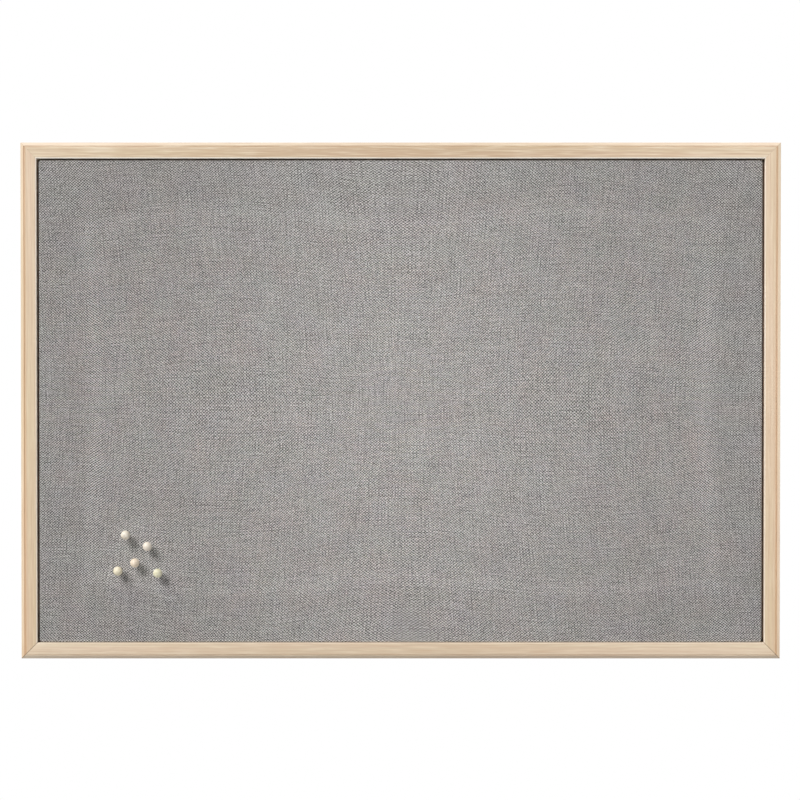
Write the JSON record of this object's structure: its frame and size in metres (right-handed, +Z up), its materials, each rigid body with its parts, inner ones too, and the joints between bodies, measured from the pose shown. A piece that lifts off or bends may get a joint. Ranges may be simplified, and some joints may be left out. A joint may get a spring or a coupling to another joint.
{
  "type": "cloth pin board",
  "caption": "Framed cloth pin board to hang on a wall: soft board under grey woven cloth in a narrow mitred pine frame, with turned wooden push pins.",
  "frame": {"origin": "middle of the frame in the plane of its rear faces, which is the plane of the wall it hangs on", "axes": "+X to the right as seen from the front, +Y back into the wall, +Z up; the cloth faces -Y"},
  "size_m": [0.63, 0.0298, 0.428],
  "materials": {
    "pine": "planed and sanded, bare or matt lacquered",
    "cloth": "grey linen-look plain weave",
    "softboard": "soft fibreboard",
    "hardboard": "brown hardboard, screen side out",
    "steel": "zinc plated",
    "foam": "white foam tape",
    "pin_wood": "turned pale wood, sanded"
  },
  "bodies": {
    "board": {"top_rail": "pine", "bottom_rail": "pine", "left_stile": "pine", "right_stile": "pine", "corner_nail_top_right": "steel", "corner_nail_top_left": "steel", "corner_nail_bottom_left": "steel", "corner_nail_bottom_right": "steel", "cloth_cover": "cloth", "softboard_core": "softboard", "backing_board": "hardboard", "foam_pad_lower_1": "foam", "foam_pad_lower_2": "foam", "foam_pad_lower_3": "foam", "foam_pad_upper_1": "foam", "foam_pad_upper_2": "foam", "foam_pad_upper_3": "foam", "hem_staple_top_1": "steel", "hem_staple_top_2": "steel", "hem_staple_top_3": "steel", "hem_staple_top_4": "steel", "hem_staple_bottom_1": "steel", "hem_staple_bottom_2": "steel", "hem_staple_bottom_3": "steel", "hem_staple_bottom_4": "steel", "hem_staple_left_1": "steel", "hem_staple_left_2": "steel", "hem_staple_right_1": "steel", "hem_staple_right_2": "steel", "back_point_top_1": "steel", "back_point_top_2": "steel", "back_point_top_3": "steel", "back_point_bottom_1": "steel", "back_point_bottom_2": "steel", "back_point_bottom_3": "steel", "back_point_left_1": "steel", "back_point_left_2": "steel", "back_point_right_1": "steel", "back_point_right_2": "steel", "sawtooth_hanger_left": "steel", "sawtooth_hanger_right": "steel", "hanger_nail_left_1": "steel", "hanger_nail_left_2": "steel", "hanger_nail_right_1": "steel", "hanger_nail_right_2": "steel"},
    "push_pin_1": {"push_pin_1_head": "pin_wood", "push_pin_1_needle": "steel"},
    "push_pin_2": {"push_pin_2_head": "pin_wood", "push_pin_2_needle": "steel"},
    "push_pin_3": {"push_pin_3_head": "pin_wood", "push_pin_3_needle": "steel"},
    "push_pin_4": {"push_pin_4_head": "pin_wood", "push_pin_4_needle": "steel"},
    "push_pin_5": {"push_pin_5_head": "pin_wood", "push_pin_5_needle": "steel"}
  },
  "joints": [
    {"name": "push_pin_1_pull", "type": "slide", "parent": "board", "child": "push_pin_1", "axis": [0, -1, 0], "range_m": [0, 0.03]},
    {"name": "push_pin_2_pull", "type": "slide", "parent": "board", "child": "push_pin_2", "axis": [0, -1, 0], "range_m": [0, 0.03]},
    {"name": "push_pin_3_pull", "type": "slide", "parent": "board", "child": "push_pin_3", "axis": [0, -1, 0], "range_m": [0, 0.03]},
    {"name": "push_pin_4_pull", "type": "slide", "parent": "board", "child": "push_pin_4", "axis": [0, -1, 0], "range_m": [0, 0.03]},
    {"name": "push_pin_5_pull", "type": "slide", "parent": "board", "child": "push_pin_5", "axis": [0, -1, 0], "range_m": [0, 0.03]}
  ]
}
